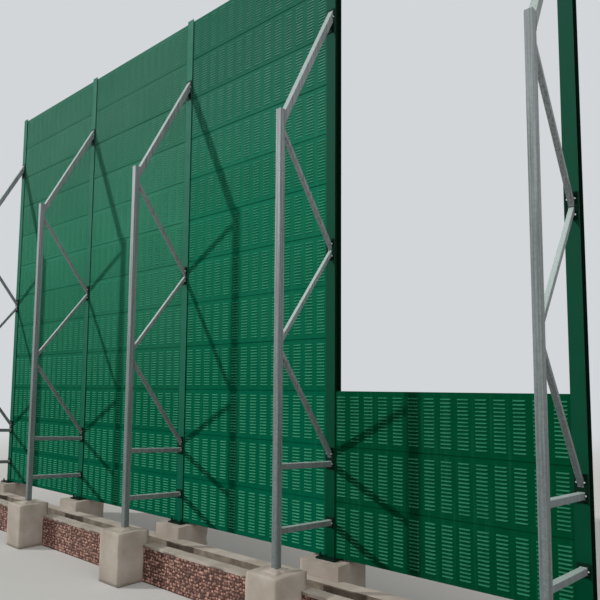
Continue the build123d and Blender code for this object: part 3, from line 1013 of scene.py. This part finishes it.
def make_pebble_wall(number, dice):
    """A low wall of mortar with crushed pebbles thrown on both its faces."""
    node = f"pebble_wall_{number}"
    low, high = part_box(node)
    bm = bmesh.new()
    bm.faces.layers.float.new("stone_tint")
    core_low = (low.x, low.y + MORTAR_SETBACK, low.z)
    core_high = (high.x, high.y - MORTAR_SETBACK, high.z)
    set_down(bm, block(core_low, core_high))
    tint = bm.faces.layers.float["stone_tint"]
    columns = round((high.x - low.x) / STONE_SPACING)
    rows = round((high.z - low.z) / STONE_SPACING)
    for side, face_y in ((1, low.y + MORTAR_SETBACK), (-1, high.y - MORTAR_SETBACK)):
        for column in range(columns):
            for row in range(rows):
                shift = dice.uniform(-STONE_SHIFT_ALONG, STONE_SHIFT_ALONG)
                x = low.x + (column + 0.5 + shift) * (high.x - low.x) / columns
                size = STONE_SIZE * dice.uniform(*STONE_SIZES)
                shift = dice.uniform(-STONE_SHIFT_UP, STONE_SHIFT_UP)
                z = low.z + (row + 0.5 + shift) * (high.z - low.z) / rows
                z = max(z, low.z + size * STONE_CLEARANCE)
                angle = dice.uniform(0, math.tau)
                turn = Matrix.Rotation(angle, 4, Vector([dice.uniform(-1, 1) for _ in range(3)]))
                width = dice.uniform(*STONE_WIDTHS)
                flat = Matrix.Diagonal((width, STONE_FLATNESS, dice.uniform(*STONE_HEIGHTS), 1))
                place = Matrix.Translation((x, face_y + side * size * STONE_STANDING_OUT, z))
                made = bmesh.ops.create_icosphere(bm, subdivisions=1, radius=size,
                                                  matrix=place @ flat @ turn)
                shade = dice.random() ** STONE_DARKENING
                for facet in {face for vert in made["verts"] for face in vert.link_faces}:
                    facet[tint] = shade
                    facet.material_index = 1
    finish_piece(f"{node}_dashed", bm, ["bedding_mortar", "crushed_pebble"], [node],
                 smooth_angle=None)


def make_concrete():
    """The piers, pads, kerb, drain bed and coping."""
    for number in range(1, POSTS + 1):
        cast_piece(f"truss_pier_{number}", PIER_WEAR)
    cast_piece("post_pads", PAD_WEAR)
    cast_piece("rear_kerb", KERB_WEAR, cell=KERB_CELL, darker_side=Vector((0, -1, 0)))
    cast_piece("drain_bed", BED_WEAR, cell=BED_CELL, darker_side=Vector((0, 0, 1)))
    cast_piece("wall_coping", COPING_WEAR)


def make_camera():
    """The camera at the photograph's place, with its axis set below the middle of the frame."""
    yaw, pitch, roll = CAMERA_YAW, CAMERA_PITCH, CAMERA_ROLL
    forward = Vector((math.sin(yaw) * math.cos(pitch), math.cos(yaw) * math.cos(pitch), math.sin(pitch)))
    level_right = Vector((math.cos(yaw), -math.sin(yaw), 0))
    level_up = level_right.cross(forward)
    right = level_right * math.cos(roll) + level_up * math.sin(roll)
    up = level_up * math.cos(roll) - level_right * math.sin(roll)
    data = bpy.data.cameras.new("camera")
    data.sensor_width = SENSOR_WIDTH
    data.lens = SENSOR_WIDTH * CAMERA_FOCAL_PIXELS / IMAGE_PIXELS
    data.shift_y = AXIS_BELOW_CENTRE_PIXELS / IMAGE_PIXELS
    data.clip_end = FLOOR_RADIUS * 3
    camera = bpy.data.objects.new("camera", data)
    bpy.context.scene.collection.objects.link(camera)
    turn = Matrix((right, up, -forward)).transposed().to_4x4()
    camera.matrix_world = Matrix.Translation(CAMERA_PLACE) @ turn
    bpy.context.scene.camera = camera


def add_lamp(name):
    """A distant lamp whose light travels one way."""
    travel, strength, angle = LAMPS[name]
    data = bpy.data.lights.new(name, "SUN")
    data.energy = strength
    data.angle = angle
    lamp = bpy.data.objects.new(name, data)
    bpy.context.scene.collection.objects.link(lamp)
    lamp.rotation_euler = travel.to_track_quat("-Z", "Y").to_euler()


def seen_directly(tree):
    """One where a ray comes from the camera, a gloss or a clear surface, and nought elsewhere."""
    path = add_node(tree, "ShaderNodeLightPath").outputs
    either = add_node(tree, "ShaderNodeMath", {0: path["Is Camera Ray"], 1: path["Is Glossy Ray"]},
                      operation="MAXIMUM")
    return add_node(tree, "ShaderNodeMath", {0: either, 1: path["Is Transmission Ray"]},
                    operation="MAXIMUM")


def make_studio():
    """A pale floor that fades into a pale background, a weak even sky and the distant lamps."""
    scene = bpy.context.scene
    scene.view_settings.view_transform = "Standard"
    world = bpy.data.worlds.new("studio")
    scene.world = world
    world.use_nodes = True
    tree = world.node_tree
    tree.nodes.clear()
    sky = add_node(tree, "ShaderNodeBackground", {0: colour(SKY_COLOUR), 1: SKY_STRENGTH})
    backdrop = add_node(tree, "ShaderNodeBackground", {0: colour(BACKGROUND_COLOUR), 1: 1.0})
    mixed = add_node(tree, "ShaderNodeMixShader", {0: seen_directly(tree), 1: sky, 2: backdrop})
    add_node(tree, "ShaderNodeOutputWorld", {0: mixed})
    material = bpy.data.materials.new("studio_floor")
    material.use_nodes = True
    tree = material.node_tree
    tree.nodes.clear()
    place = add_node(tree, "ShaderNodeTexCoord").outputs["Object"]
    away = add_node(tree, "ShaderNodeVectorMath", {0: place}, operation="LENGTH").outputs["Value"]
    fade = add_node(tree, "ShaderNodeMapRange", {0: away, 1: FLOOR_FADE_START, 2: FLOOR_FADE_END},
                    interpolation_type="SMOOTHSTEP")
    share = add_node(tree, "ShaderNodeMath", {0: fade, 1: seen_directly(tree)}, operation="MULTIPLY")
    matt = add_node(tree, "ShaderNodeBsdfDiffuse", {0: colour(FLOOR_COLOUR)})
    glow = add_node(tree, "ShaderNodeEmission", {0: colour(BACKGROUND_COLOUR), 1: 1.0})
    mixed = add_node(tree, "ShaderNodeMixShader", {0: share, 1: matt, 2: glow})
    add_node(tree, "ShaderNodeOutputMaterial", {0: mixed})
    bm = bmesh.new()
    bmesh.ops.create_circle(bm, cap_ends=True, segments=FLOOR_SIDES, radius=FLOOR_RADIUS)
    mesh = bpy.data.meshes.new("studio_floor")
    bm.to_mesh(mesh)
    bm.free()
    mesh.materials.append(material)
    floor = bpy.data.objects.new("studio_floor", mesh)
    scene.collection.objects.link(floor)
    for name in LAMPS:
        add_lamp(name)


make_camera()
make_studio()
make_panels()
weld_dice = random.Random(WELD_SEED)
for post_number in range(1, POSTS + 1):
    make_post(post_number)
    make_truss(post_number, weld_dice)
    make_end_plates(post_number)
make_plates("post_base_plates_cut", BASE_PLATES, "dark_primed_plate")
make_plates("chord_foot_plates_cut", FOOT_PLATES, "galvanised_tube")
stone_dice = random.Random(STONE_SEED)
for wall_number in range(1, BAYS + 1):
    make_pebble_wall(wall_number, stone_dice)
make_concrete()
